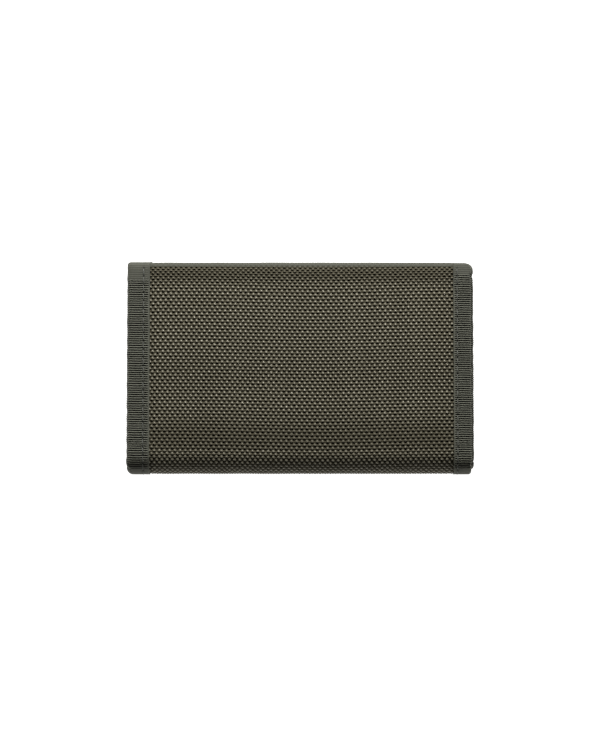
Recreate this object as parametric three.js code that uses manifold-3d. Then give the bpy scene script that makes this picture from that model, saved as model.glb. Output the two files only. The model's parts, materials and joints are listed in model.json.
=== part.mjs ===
// Bifold wallet, closed and lying on its front cover. Millimetres, +Z up.
// The origin is the middle of the footprint, on the table. X runs along the spine, and the free
// edges face +Y.
//
// One long strip of coarse nylon is the front cover, the round spine and the back cover. A lining
// runs along the inside of it, and the space between the two is the note compartment, which opens at
// the right-hand edge. Every layer is placed by its distance along a cover from that cover's fold
// line, and by its depth inwards from the cover's outer plane.
import * as THREE from 'three';
import { mergeVertices } from 'three/addons/utils/BufferGeometryUtils.js';
import Module from 'manifold-3d';

const wasm = await Module();
wasm.setup();

// Driving dimensions.
const WIDTH = 130;
const CLOSED_LENGTH = 80;
const SPINE_RADIUS = 8.5;
const BACK_TILT_DEG = 6; // the closed back cover slopes down to the thinner free edge
const FOLD_CLEARANCE = 0.2;
const LAYER_GAP = 0.1;
const ARC_SEGMENTS = 20;
const CORNER_SEGMENTS = 8;
const PULL_SEGMENTS = 12;
const MERGE_DISTANCE = 1e-4;

// Depths of the layers, measured inwards from the outer plane of a cover.
const SHELL_THICK = 1.2;
const SHELL_MARGIN_DEPTH = 0.6;
const TAPE_THICK = 0.5;
const LINING = [2.4, 3.0];
const INNER_TAPE = [LINING[1] + LAYER_GAP, LINING[1] + LAYER_GAP + TAPE_THICK];
const STACK_DEPTH = INNER_TAPE[1];
const SHELL_TAPE_INNER = [SHELL_THICK + LAYER_GAP, SHELL_THICK + LAYER_GAP + TAPE_THICK];
const LINING_TAPE_OUTER = [1.9, 2.3];

// Widths across the covers.
const HALF_WIDTH = WIDTH / 2;
const TAPE_WIDTH = 9.2;
const TAPE_FOLD = 0.6; // material of the binding at the very edge
const TAPE_INNER_EDGE = HALF_WIDTH - TAPE_WIDTH;
const SHELL_BODY_HALF = TAPE_INNER_EDGE - 0.4;
const CLOTH_HALF = HALF_WIDTH - TAPE_FOLD - 0.2;
const CORNER_RADIUS = 2.2;

// Distances from the free edge of a cover.
const HEM_RETURN = 5;
const HEM_WALL = 1;
const LINING_TO_EDGE = HEM_WALL + 0.3;
const CLOSURE_STRIP = [5.5, 16.3];
const CLOSURE_STRIP_LENGTH = 70;
const CLOSURE_STRIP_DEPTH = [3.15, 4.45];
const POCKET_MOUTHS = { rear: 26, middle: 36, front: 46 };
const POCKET_DEPTHS = { rear: 3.4, middle: 4.2, front: 5.0 };
const POCKET_THICK = 0.5;
const POCKET_HALF = TAPE_INNER_EDGE - 0.3;
const EDGING_WIDTH = 5;
const EDGING_PROUD = 0.18;

// Zip of the coin pocket, on the inside of the back cover.
const ZIP_LINE = 23; // distance of its middle from the free edge
const ZIP_HALF_LENGTH = 50;
const TEETH_GAP = 1.2;
const TEETH_WIDTH = 1.5;
const TEETH_DEPTH = [4.0, 5.4];
const ZIP_TAPE_DEPTH = [4.5, 4.9];
const ZIP_TAPE_WIDTH = 5;
const ZIP_STOP_LENGTH = 2;
const COIN_PANEL_DEPTH = [5.0, 5.5];
const COIN_PANEL_TOP = 27;
const COIN_FACING = [16.6, 19];
const SLIDER_X = 44;
const SLIDER_LENGTH = 9;
const SLIDER_HALF_WIDTH = 3.5;
const SLIDER_PLATES = [[3.2, 3.8], [5.6, 6.3]];
const SLIDER_LIPS = [[3.8, 4.4], [5.0, 5.6]];
const SLIDER_LIP_WIDTH = 0.8;
const SLIDER_POST = [1.6, 0.8];
const BRIDGE = { length: 6, width: 1.2, legs: 1, top: 8.0, bar: 0.6 };
const PULL = { length: 19, width: 5.5, thick: 0.9, depth: 6.4, eye: [2.6, 2.2], start: 1.4 };

const tilt = THREE.MathUtils.degToRad(BACK_TILT_DEG);
// Where the back cover's outer plane meets the spine's outer plane, above the lower fold line.
const backFoldHeight = SPINE_RADIUS * (Math.tan(tilt) + 1 + 1 / Math.cos(tilt));
const frontCoverLength = CLOSED_LENGTH;
const backCoverLength = CLOSED_LENGTH / Math.cos(tilt);
// The covers start where the end of the round spine clears them as it swings about the fold line.
const frontCoverStart = Math.hypot(SPINE_RADIUS, STACK_DEPTH) + FOLD_CLEARANCE;
const backCoverStart = Math.hypot(backFoldHeight - SPINE_RADIUS, STACK_DEPTH) + FOLD_CLEARANCE;

const cloth = (color, roughness) => new THREE.MeshStandardMaterial({ color, roughness, metalness: 0 });
const metal = (color) => new THREE.MeshStandardMaterial({ color, roughness: 0.35, metalness: 1 });
const shellCloth = cloth(0x4c483d, 0.7);
const liningCloth = cloth(0x33342d, 0.8);
const bindingTape = cloth(0x50524a, 0.85);
const pocketCloth = cloth(0x3b3c33, 0.8);
const zipTape = cloth(0x2d2e29, 0.85);
const zipNylon = cloth(0x1c1d1a, 0.45);
const closureNylon = cloth(0x2b2c26, 0.9);
const zipMetal = metal(0x55534c);

// Boolean work.
function toManifold(geometry) {
  const positions = geometry.clone();
  positions.deleteAttribute('normal');
  positions.deleteAttribute('uv');
  const merged = mergeVertices(positions, MERGE_DISTANCE);
  return new wasm.Manifold(
    new wasm.Mesh({
      numProp: 3,
      vertProperties: new Float32Array(merged.attributes.position.array),
      triVerts: new Uint32Array(merged.index.array),
    }),
  );
}

function toGeometry(manifold) {
  const mesh = manifold.getMesh();
  const geometry = new THREE.BufferGeometry();
  geometry.setAttribute('position', new THREE.BufferAttribute(new Float32Array(mesh.vertProperties), 3));
  geometry.setIndex(new THREE.BufferAttribute(new Uint32Array(mesh.triVerts), 1));
  geometry.computeVertexNormals();
  return geometry;
}

const join = (manifolds) => manifolds.reduce((whole, next) => whole.add(next));

// A section drawn in the plane across the spine, swept from one X to another.
const sectionToWorld = new THREE.Matrix4().makeBasis(
  new THREE.Vector3(0, 1, 0),
  new THREE.Vector3(0, 0, 1),
  new THREE.Vector3(1, 0, 0),
);

function sweep(section, fromX, toX) {
  const geometry = new THREE.ExtrudeGeometry(section, {
    depth: toX - fromX,
    bevelEnabled: false,
    curveSegments: ARC_SEGMENTS,
  });
  geometry.translate(0, 0, fromX);
  return toManifold(geometry.applyMatrix4(sectionToWorld));
}

function rectangle(left, bottom, right, top) {
  return new THREE.Shape([
    new THREE.Vector2(left, bottom),
    new THREE.Vector2(right, bottom),
    new THREE.Vector2(right, top),
    new THREE.Vector2(left, top),
  ]);
}

// The three runs of the strip: each turns a depth range into the section of a layer.
const frontRun = (from, to) => (depth) => rectangle(from, depth[0], to, depth[1]);
const backRun = (from, to) => (depth) => rectangle(from, -depth[1], to, -depth[0]);
const spineRun = (depth) => {
  const section = new THREE.Shape();
  const start = -Math.PI / 2;
  const end = Math.PI / 2 - tilt;
  section.absarc(SPINE_RADIUS, SPINE_RADIUS, SPINE_RADIUS - depth[0], start, end, true);
  section.absarc(SPINE_RADIUS, SPINE_RADIUS, SPINE_RADIUS - depth[1], end, start, false);
  return section;
};

// A layer made of strips, each with its own range across the cover and its own depth, joined into one solid.
const layer = (run, strips) => join(strips.map(({ x, depth }) => sweep(run(depth), x[0], x[1])));

// The shell's cloth is full height between the tapes and pressed thin under them.
const shellStrips = [
  { x: [-SHELL_BODY_HALF, SHELL_BODY_HALF], depth: [0, SHELL_THICK] },
  { x: [-CLOTH_HALF, CLOTH_HALF], depth: [SHELL_MARGIN_DEPTH, SHELL_THICK] },
];
const liningStrips = [{ x: [-CLOTH_HALF, CLOTH_HALF], depth: LINING }];

// A binding tape folded round an edge: outer leg, fold and inner leg.
function tapeStrips(side, outerLeg, innerLeg) {
  const across = (a, b) => (side < 0 ? [-b, -a] : [a, b]);
  return [
    { x: across(TAPE_INNER_EDGE, HALF_WIDTH), depth: outerLeg },
    { x: across(HALF_WIDTH - TAPE_FOLD, HALF_WIDTH), depth: [outerLeg[0], innerLeg[1]] },
    { x: across(TAPE_INNER_EDGE, HALF_WIDTH), depth: innerLeg },
  ];
}

const tapes = {
  binding_left: tapeStrips(-1, [0, TAPE_THICK], INNER_TAPE),
  shell_binding_right: tapeStrips(1, [0, TAPE_THICK], SHELL_TAPE_INNER),
  lining_binding_right: tapeStrips(1, LINING_TAPE_OUTER, INNER_TAPE),
};

// Rounds the two corners at a cover's free edge.
function roundFreeCorners(manifold, length) {
  const outline = new THREE.Shape();
  outline.moveTo(-HALF_WIDTH, 0);
  outline.lineTo(HALF_WIDTH, 0);
  const cornerX = HALF_WIDTH - CORNER_RADIUS;
  const cornerY = length - CORNER_RADIUS;
  outline.absarc(cornerX, cornerY, CORNER_RADIUS, 0, Math.PI / 2, false);
  outline.absarc(-cornerX, cornerY, CORNER_RADIUS, Math.PI / 2, Math.PI, false);
  const settings = { depth: CLOSED_LENGTH, bevelEnabled: false, curveSegments: CORNER_SEGMENTS };
  const block = new THREE.ExtrudeGeometry(outline, settings);
  block.translate(0, 0, -CLOSED_LENGTH / 2);
  return manifold.intersect(toManifold(block));
}

const group = new THREE.Group();
const front = new THREE.Group();
const spine = new THREE.Group();
const back = new THREE.Group();
front.position.set(0, -CLOSED_LENGTH / 2, 0);
spine.position.copy(front.position);
back.position.set(0, -CLOSED_LENGTH / 2, backFoldHeight);
back.rotation.x = -tilt;
group.add(front, spine, back);

function addPart(parent, name, manifold, material) {
  const mesh = new THREE.Mesh(toGeometry(manifold), material);
  mesh.name = name;
  parent.add(mesh);
}

// Shell, lining and binding tapes of the two covers and the spine.
function addCover(parent, name, run, start, length) {
  const hem = [
    layer(run(length - HEM_WALL, length), [
      { x: [-SHELL_BODY_HALF, SHELL_BODY_HALF], depth: [0, INNER_TAPE[1]] },
    ]),
    layer(run(length - HEM_RETURN, length), [
      { x: [-SHELL_BODY_HALF, SHELL_BODY_HALF], depth: INNER_TAPE },
    ]),
  ];
  addPart(parent, `${name}_shell`, join([layer(run(start, length), shellStrips), ...hem]), shellCloth);
  addPart(parent, `${name}_lining`, layer(run(start, length - LINING_TO_EDGE), liningStrips), liningCloth);
  for (const [tape, strips] of Object.entries(tapes)) {
    const whole = layer(run(start, length), strips);
    addPart(parent, `${name}_${tape}`, roundFreeCorners(whole, length), bindingTape);
  }
}

function addSpine() {
  addPart(spine, 'spine_shell', layer(spineRun, shellStrips), shellCloth);
  addPart(spine, 'spine_lining', layer(spineRun, liningStrips), liningCloth);
  for (const [tape, strips] of Object.entries(tapes)) {
    addPart(spine, `spine_${tape}`, layer(spineRun, strips), bindingTape);
  }
}

// Three card pockets on the front cover's lining. All cards stand on the same seam, next to the spine.
function addCardPockets() {
  for (const [place, mouth] of Object.entries(POCKET_MOUTHS)) {
    const top = frontCoverLength - mouth;
    const depth = POCKET_DEPTHS[place];
    const panel = frontRun(frontCoverStart, top - EDGING_WIDTH - LAYER_GAP);
    const edging = frontRun(top - EDGING_WIDTH, top);
    const panelStrip = { x: [-POCKET_HALF, POCKET_HALF], depth: [depth, depth + POCKET_THICK] };
    const edgingDepth = [depth - EDGING_PROUD, depth + POCKET_THICK + EDGING_PROUD];
    const edgingStrip = { x: [-POCKET_HALF, POCKET_HALF], depth: edgingDepth };
    addPart(front, `card_pocket_${place}`, layer(panel, [panelStrip]), pocketCloth);
    addPart(front, `card_pocket_${place}_edging`, layer(edging, [edgingStrip]), bindingTape);
  }
}

// Hook strip on the front cover and loop strip on the back cover, which grip each other along the free edge.
function addClosure() {
  const half = CLOSURE_STRIP_LENGTH / 2;
  const strip = [{ x: [-half, half], depth: CLOSURE_STRIP_DEPTH }];
  const span = (length) => [length - CLOSURE_STRIP[1], length - CLOSURE_STRIP[0]];
  addPart(front, 'hook_strip', layer(frontRun(...span(frontCoverLength)), strip), closureNylon);
  addPart(back, 'loop_strip', layer(backRun(...span(backCoverLength)), strip), closureNylon);
}

// A block on the back cover: its range along X, its range from the free edge, and its depth.
function backBlock(x, fromEdge, depth) {
  return layer(backRun(backCoverLength - fromEdge[1], backCoverLength - fromEdge[0]), [{ x, depth }]);
}

function addCoinPocket() {
  const panelX = [-POCKET_HALF, POCKET_HALF];
  const panelEnd = backCoverLength - backCoverStart;
  const panel = backBlock(panelX, [COIN_PANEL_TOP, panelEnd], COIN_PANEL_DEPTH);
  addPart(back, 'coin_pocket_panel', panel, pocketCloth);
  addPart(back, 'coin_pocket_facing', backBlock(panelX, COIN_FACING, COIN_PANEL_DEPTH), pocketCloth);
}

// Two rows of teeth with a slit between them, each on its own tape, and a stop at each end.
function addZip() {
  for (const [place, side] of [['upper', -1], ['lower', 1]]) {
    const across = (a, b) => [ZIP_LINE + side * a, ZIP_LINE + side * b].sort((low, high) => low - high);
    const teethOuter = TEETH_GAP / 2 + TEETH_WIDTH;
    const tapeStart = teethOuter + LAYER_GAP;
    const teethX = [-ZIP_HALF_LENGTH, ZIP_HALF_LENGTH];
    const teeth = backBlock(teethX, across(TEETH_GAP / 2, teethOuter), TEETH_DEPTH);
    const tapeSpan = across(tapeStart, tapeStart + ZIP_TAPE_WIDTH);
    const tape = backBlock([-POCKET_HALF, POCKET_HALF], tapeSpan, ZIP_TAPE_DEPTH);
    addPart(back, `zip_teeth_${place}`, teeth, zipNylon);
    addPart(back, `zip_tape_${place}`, tape, zipTape);
  }
  const stopDepth = [TEETH_DEPTH[0] - LAYER_GAP, TEETH_DEPTH[1] + LAYER_GAP];
  const stopHalfWidth = TEETH_GAP / 2 + TEETH_WIDTH;
  const stopStart = ZIP_HALF_LENGTH + LAYER_GAP;
  const stopAcross = [ZIP_LINE - stopHalfWidth, ZIP_LINE + stopHalfWidth];
  const stopRight = backBlock([stopStart, stopStart + ZIP_STOP_LENGTH], stopAcross, stopDepth);
  const stopLeft = backBlock([-stopStart - ZIP_STOP_LENGTH, -stopStart], stopAcross, stopDepth);
  addPart(back, 'zip_stop_right', stopRight, zipMetal);
  addPart(back, 'zip_stop_left', stopLeft, zipMetal);
}

// The slider's two plates are held apart by a post in the slit, and their lips run above and below the tapes.
function addSlider() {
  const x = [SLIDER_X - SLIDER_LENGTH / 2, SLIDER_X + SLIDER_LENGTH / 2];
  const across = [ZIP_LINE - SLIDER_HALF_WIDTH, ZIP_LINE + SLIDER_HALF_WIDTH];
  const plates = SLIDER_PLATES.map((depth) => backBlock(x, across, depth));
  const lips = SLIDER_LIPS.flatMap((depth) => [
    backBlock(x, [across[0], across[0] + SLIDER_LIP_WIDTH], depth),
    backBlock(x, [across[1] - SLIDER_LIP_WIDTH, across[1]], depth),
  ]);
  const postX = [x[1] - SLIDER_POST[0], x[1]];
  const postAcross = [ZIP_LINE - SLIDER_POST[1] / 2, ZIP_LINE + SLIDER_POST[1] / 2];
  const post = backBlock(postX, postAcross, [SLIDER_PLATES[0][0], SLIDER_PLATES[1][1]]);
  const bridgeAcross = [ZIP_LINE - BRIDGE.width / 2, ZIP_LINE + BRIDGE.width / 2];
  const bridgeX = [SLIDER_X - BRIDGE.length / 2, SLIDER_X + BRIDGE.length / 2];
  const legDepth = [SLIDER_PLATES[1][1] - LAYER_GAP, BRIDGE.top];
  const legs = [
    backBlock([bridgeX[0], bridgeX[0] + BRIDGE.legs], bridgeAcross, legDepth),
    backBlock([bridgeX[1] - BRIDGE.legs, bridgeX[1]], bridgeAcross, legDepth),
  ];
  const bar = backBlock(bridgeX, bridgeAcross, [BRIDGE.top - BRIDGE.bar, BRIDGE.top]);
  addPart(back, 'zip_slider', join([...plates, ...lips, post, ...legs, bar]), zipMetal);
}

// The pull is a flat tongue whose eye goes round the bridge's leading leg. It lies along the zip.
function addPull() {
  const outline = new THREE.Shape();
  const radius = PULL.width / 2;
  const eyeEnd = SLIDER_X - BRIDGE.length / 2 + BRIDGE.legs + PULL.start;
  const tipCentre = eyeEnd - PULL.length + radius;
  const middle = backCoverLength - ZIP_LINE;
  outline.absarc(eyeEnd - radius, middle, radius, -Math.PI / 2, Math.PI / 2, false);
  outline.absarc(tipCentre, middle, radius, Math.PI / 2, Math.PI * 1.5, false);
  const eyeMiddle = SLIDER_X - BRIDGE.length / 2 + BRIDGE.legs / 2;
  const eye = new THREE.Path();
  eye.absellipse(eyeMiddle, middle, PULL.eye[0] / 2, PULL.eye[1] / 2, 0, Math.PI * 2, true);
  outline.holes.push(eye);
  const settings = { depth: PULL.thick, bevelEnabled: false, curveSegments: PULL_SEGMENTS };
  const geometry = new THREE.ExtrudeGeometry(outline, settings);
  geometry.translate(0, 0, -PULL.depth - PULL.thick);
  addPart(back, 'zip_pull', toManifold(geometry), zipMetal);
}

addCover(front, 'front', frontRun, frontCoverStart, frontCoverLength);
addCover(back, 'back', backRun, backCoverStart, backCoverLength);
addSpine();
addCardPockets();
addClosure();
addCoinPocket();
addZip();
addSlider();
addPull();

export default group;
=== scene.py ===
"""Looks of the closed nylon wallet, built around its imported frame.

The wallet is one strip: front cover on the table, round spine, back cover on top. Everything on it is placed
by three numbers: x along the spine, run (the distance along the strip from the middle of the spine) and depth
(the distance inwards from the strip's outer line). place() turns them into points of the row frame.
"""
import json
import math

import bmesh
import bpy
import numpy as np
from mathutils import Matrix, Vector


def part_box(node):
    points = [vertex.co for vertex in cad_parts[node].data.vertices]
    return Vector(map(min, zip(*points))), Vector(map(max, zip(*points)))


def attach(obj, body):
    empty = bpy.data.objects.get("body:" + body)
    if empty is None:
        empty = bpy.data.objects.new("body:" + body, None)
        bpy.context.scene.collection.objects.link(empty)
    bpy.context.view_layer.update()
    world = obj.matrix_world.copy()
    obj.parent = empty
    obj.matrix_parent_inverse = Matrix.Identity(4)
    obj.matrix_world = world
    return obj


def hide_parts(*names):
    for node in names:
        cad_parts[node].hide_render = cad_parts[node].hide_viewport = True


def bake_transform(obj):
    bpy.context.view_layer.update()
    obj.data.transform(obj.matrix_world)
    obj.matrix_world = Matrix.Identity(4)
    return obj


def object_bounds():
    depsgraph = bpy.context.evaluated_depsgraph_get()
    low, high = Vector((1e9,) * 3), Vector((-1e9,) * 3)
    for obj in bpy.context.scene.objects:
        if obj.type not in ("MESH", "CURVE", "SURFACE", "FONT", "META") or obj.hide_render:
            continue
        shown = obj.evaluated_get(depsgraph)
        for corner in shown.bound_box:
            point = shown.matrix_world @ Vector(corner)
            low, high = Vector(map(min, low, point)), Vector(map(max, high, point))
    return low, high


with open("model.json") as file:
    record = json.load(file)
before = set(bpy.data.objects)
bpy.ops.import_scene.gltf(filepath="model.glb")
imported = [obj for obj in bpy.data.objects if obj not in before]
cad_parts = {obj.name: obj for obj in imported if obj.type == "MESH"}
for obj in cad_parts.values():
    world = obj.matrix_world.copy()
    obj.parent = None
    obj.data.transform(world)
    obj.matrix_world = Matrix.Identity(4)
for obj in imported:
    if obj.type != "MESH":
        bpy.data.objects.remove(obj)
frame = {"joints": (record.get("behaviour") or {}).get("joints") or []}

CAD_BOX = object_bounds()
MM = 0.001

# ---- The strip's shape, from the frame ----
JOINTS = {joint["name"]: joint for joint in frame["joints"]}
HALF_WIDTH = CAD_BOX[1].x
FREE_EDGE_Y = CAD_BOX[1].y
FOLD_Y = JOINTS["spine_fold"]["pos_m"][1]
TILT = math.radians(JOINTS["back_fold"]["range_deg"][1] - 90)
RADIUS = JOINTS["back_fold"]["pos_m"][2] / (1 + math.tan(TILT) + 1 / math.cos(TILT))
CENTRE = np.array([FOLD_Y + RADIUS, RADIUS])
ARC = {1: RADIUS * (math.pi / 2 + TILT), -1: RADIUS * math.pi / 2}
COVER = {
    1: (FREE_EDGE_Y - FOLD_Y) / math.cos(TILT) - RADIUS * (math.tan(TILT) + 1 / math.cos(TILT)),
    -1: FREE_EDGE_Y - FOLD_Y - RADIUS,
}
REACH = {side: ARC[side] + COVER[side] for side in (1, -1)}
BODY = {1: "back", -1: "front"}

# Depths of the layers, read off the front cover, whose outer face lies on the table.
TAPE_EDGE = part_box("front_binding_left")[1].x * -1
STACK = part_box("front_binding_left")[1].z
LINING_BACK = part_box("front_lining")[1].z
SHELL_TAPE = (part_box("front_shell_binding_right")[0].z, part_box("front_shell_binding_right")[1].z)
LINING_TAPE = (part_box("front_lining_binding_right")[0].z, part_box("front_lining_binding_right")[1].z)

# Weave of the outer cloth. Sides, skew and shift are parts of a yarn's pitch.
WARP_PITCH = 0.971 * MM
WEFT_PITCH = 1.285 * MM
WARP_LIFT = 0.24 * MM
WARP_THICK = 0.12 * MM
WARP_SIDE = 0.46
WARP_SHIFT = 0.18
FILLING_LIFT = 0.24 * MM
FILLING_THICK = 0.36 * MM
FLOAT_FLATNESS = 0.6
FLOAT_SKEW = 0.16
SKEW_REACH = 0.8
STEEP_SIDE = 0.30
GENTLE_SIDE = 0.50
YARN_FALL = 3.0
WEAVE_CREST = FILLING_LIFT + FILLING_THICK
WEAVE_FLOOR = -0.25 * MM
# height below which, and how sharply to one side, the hollows under the floats get painted shade
GAP_SHADE_TOP = 0.24 * MM
GAP_SHADE_SHARPNESS = 12
# parts of the weave's crest where the painted highlight on the filling floats begins and is full
HIGHLIGHT_START = 0.54
HIGHLIGHT_FULL = 0.96
WARP_STEPS = 4  # mesh steps to a yarn, across and along the back cover
WEFT_STEPS = 6
WEFT_STEPS_BELOW = 4  # along the front cover, which lies on the table
EDGE_ROUND = 4.5 * MM  # how far from the free edge a cover starts to round off
CROWDED_LENGTH = 10 * MM  # near the free edge the filling yarns lie closer together

# Tapes and stitching.
TAPE_THICK = 0.42 * MM
RIB_PITCH = 0.83 * MM
PLAIN_RIB = 0.6  # rib shade of a tape's hidden face
STITCH_PITCH = 3.07 * MM
STITCH_INSET = 2.5 * MM
NARROWER = {-1: 0.6 * MM, 1: 2.0 * MM}  # how much less of the cloth each outer tape covers than the built one
OUTER_STITCH_INSET = {-1: 2.5 * MM, 1: 1.95 * MM}  # from each outer tape's selvedge to its needle holes
SHELL_TAPE_OUT = -0.55 * MM  # how far each right tape stands out past the built one
LINING_TAPE_OUT = 0.4 * MM
THREAD_RADIUS = 0.19 * MM


def place(x, run, depth):
    """Points of the row frame. run is positive towards the back cover and negative towards the front."""
    x, run, depth = np.broadcast_arrays(x, run, depth)
    side_arc = np.where(run >= 0, ARC[1], ARC[-1])
    over = np.maximum(np.abs(run) - side_arc, 0)
    angle = np.clip(run, -ARC[-1], ARC[1]) / RADIUS
    along_y = np.where(run >= 0, math.cos(TILT), 1.0)
    along_z = np.where(run >= 0, -math.sin(TILT), 0.0)
    y = CENTRE[0] - np.cos(angle) * (RADIUS - depth) + over * along_y
    z = CENTRE[1] + np.sin(angle) * (RADIUS - depth) + over * along_z
    return np.stack([x, y, z], axis=-1)


# ---- Mesh helpers ----
def grid_faces(rows, columns, first=0):
    """Quads over a grid of rows by columns of vertices."""
    index = np.arange(rows * columns).reshape(rows, columns) + first
    corners = (index[:-1, :-1], index[:-1, 1:], index[1:, 1:], index[1:, :-1])
    return np.stack(corners, axis=-1).reshape(-1, 4).tolist()


def border_faces(fine, coarse):
    """Triangles between a fine border and a coarse one, with a whole number of fine steps to a coarse one."""
    step = (len(fine) - 1) // (len(coarse) - 1)
    faces = []
    for k in range(len(coarse) - 1):
        near, far = coarse[k], coarse[k + 1]
        run = fine[k * step:(k + 1) * step + 1]
        half = (step + 1) // 2
        faces += [(near, run[i], run[i + 1]) for i in range(half)]
        faces += [(near, run[half], far)]
        faces += [(far, run[i], run[i + 1]) for i in range(half, step)]
    return faces


def tube_faces(ring, along):
    """Faces of a closed tube, from rings of points one after another."""
    sides = [
        (i * ring + k, i * ring + (k + 1) % ring, (i + 1) * ring + (k + 1) % ring, (i + 1) * ring + k)
        for i in range(along - 1)
        for k in range(ring)
    ]
    return sides + [tuple(range(ring))[::-1], tuple(range((along - 1) * ring, along * ring))]


def two_faces(across, along):
    """UVs for both faces of a cloth, from its thread coordinates."""
    uv = np.stack(np.broadcast_arrays(across, along), axis=-1).reshape(-1, 2)
    return np.concatenate([uv, uv])


def outer_face(values, inner, count=None):
    """Values for both faces of a cloth: one per point of the outer face and the same all over the inner."""
    return np.concatenate([values.ravel(), np.full(count or values.size, inner)])


def new_object(name, points, faces, uv=None, marks=None):
    """A smooth-shaded object from points, faces, a UV per point and named values per point."""
    mesh = bpy.data.meshes.new(name)
    mesh.from_pydata(np.asarray(points).reshape(-1, 3).tolist(), [], faces)
    mesh.update()
    corners = np.zeros(len(mesh.loops), np.int32)
    mesh.loops.foreach_get("vertex_index", corners)
    if uv is not None:
        layer = mesh.uv_layers.new(name="Thread")
        layer.data.foreach_set("uv", np.asarray(uv, np.float32).reshape(-1, 2)[corners].ravel())
    for key, values in (marks or {}).items():
        attribute = mesh.attributes.new(key, "FLOAT", "POINT")
        attribute.data.foreach_set("value", np.asarray(values, np.float32).ravel())
    mesh.polygons.foreach_set("use_smooth", np.full(len(mesh.polygons), True))
    thing = bpy.data.objects.new(name, mesh)
    bpy.context.scene.collection.objects.link(thing)
    return thing


def signed_volume(points, faces):
    """Volume inside a closed shape from its three- and four-sided faces, negative if they look inwards."""
    total = 0.0
    points = np.asarray(points).reshape(-1, 3)
    for size in (3, 4):
        chosen = np.array([f for f in faces if len(f) == size], int).reshape(-1, size)
        for k in range(1, size - 1):
            a, b, c = (points[chosen[:, i]] for i in (0, k, k + 1))
            total += float((a * np.cross(b, c)).sum()) / 6
    return total


def outward(points, faces):
    """The faces of a closed shape, turned to look outwards."""
    return [face[::-1] for face in faces] if signed_volume(points, faces) < 0 else faces


def shell_object(name, outer, inner, sides=("top", "bottom", "left", "right"), uv=None, marks=None):
    """A cloth from its outer grid and its maybe coarser inner grid, joined along the named sides."""
    rows, columns = outer.shape[:2]
    inner_rows, inner_columns = inner.shape[:2]
    first = rows * columns
    outer_index = np.arange(first).reshape(rows, columns)
    inner_index = np.arange(inner_rows * inner_columns).reshape(inner_rows, inner_columns) + first
    faces = grid_faces(rows, columns)
    faces += [face[::-1] for face in grid_faces(inner_rows, inner_columns, first)]
    borders = {
        "top": (outer_index[0][::-1], inner_index[0][::-1]),
        "bottom": (outer_index[-1], inner_index[-1]),
        "left": (outer_index[:, 0], inner_index[:, 0]),
        "right": (outer_index[:, -1][::-1], inner_index[:, -1][::-1]),
    }
    for side in sides:
        fine, coarse = (border.tolist() for border in borders[side])
        faces += border_faces(fine, coarse)
    points = np.concatenate([outer.reshape(-1, 3), inner.reshape(-1, 3)])
    return new_object(name, points, outward(points, faces), uv, marks)


def weld(thing, distance=1e-7):
    """Joins the points of a mesh that lie in the same place."""
    work = bmesh.new()
    work.from_mesh(thing.data)
    bmesh.ops.remove_doubles(work, verts=work.verts, dist=distance)
    bmesh.ops.dissolve_degenerate(work, edges=work.edges, dist=distance)
    work.to_mesh(thing.data)
    work.free()


def waves(position, seed, amplitude, shortest, longest, count=7):
    """A smooth made-up wander along one direction, the same each run."""
    draw = np.random.default_rng(seed)
    total = np.zeros_like(position)
    for _ in range(count):
        length = math.exp(draw.uniform(math.log(shortest), math.log(longest)))
        total += draw.uniform(0.4, 1.0) * np.sin(2 * math.pi * (position / length + draw.uniform(0, 1)))
    return amplitude * total / math.sqrt(count)


def ease(value, low, high):
    """A smooth step: 0 up to low, 1 from high on."""
    share = np.clip((value - low) / (high - low), 0, 1)
    return share * share * (3 - 2 * share)


def built_nodes(side, piece):
    """The built pieces a half stands for. The front half also stands for the spine's piece."""
    return [f"{BODY[side]}_{piece}"] + ([f"spine_{piece}"] if side < 0 else [])


def dress(thing, material, slot, *nodes):
    """Gives a piece its material and hides the built pieces it stands for."""
    thing.data.materials.append(material)
    if nodes:
        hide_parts(*nodes)


def bend(thing, side, depth):
    """Cloth across a fold line. Only its transform is baked into its points; the two fold points found here
    are not used.
    """
    middle = place(0.0, 0.0, depth)
    end = place(0.0, side * ARC[side], depth)
    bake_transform(thing)


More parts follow.
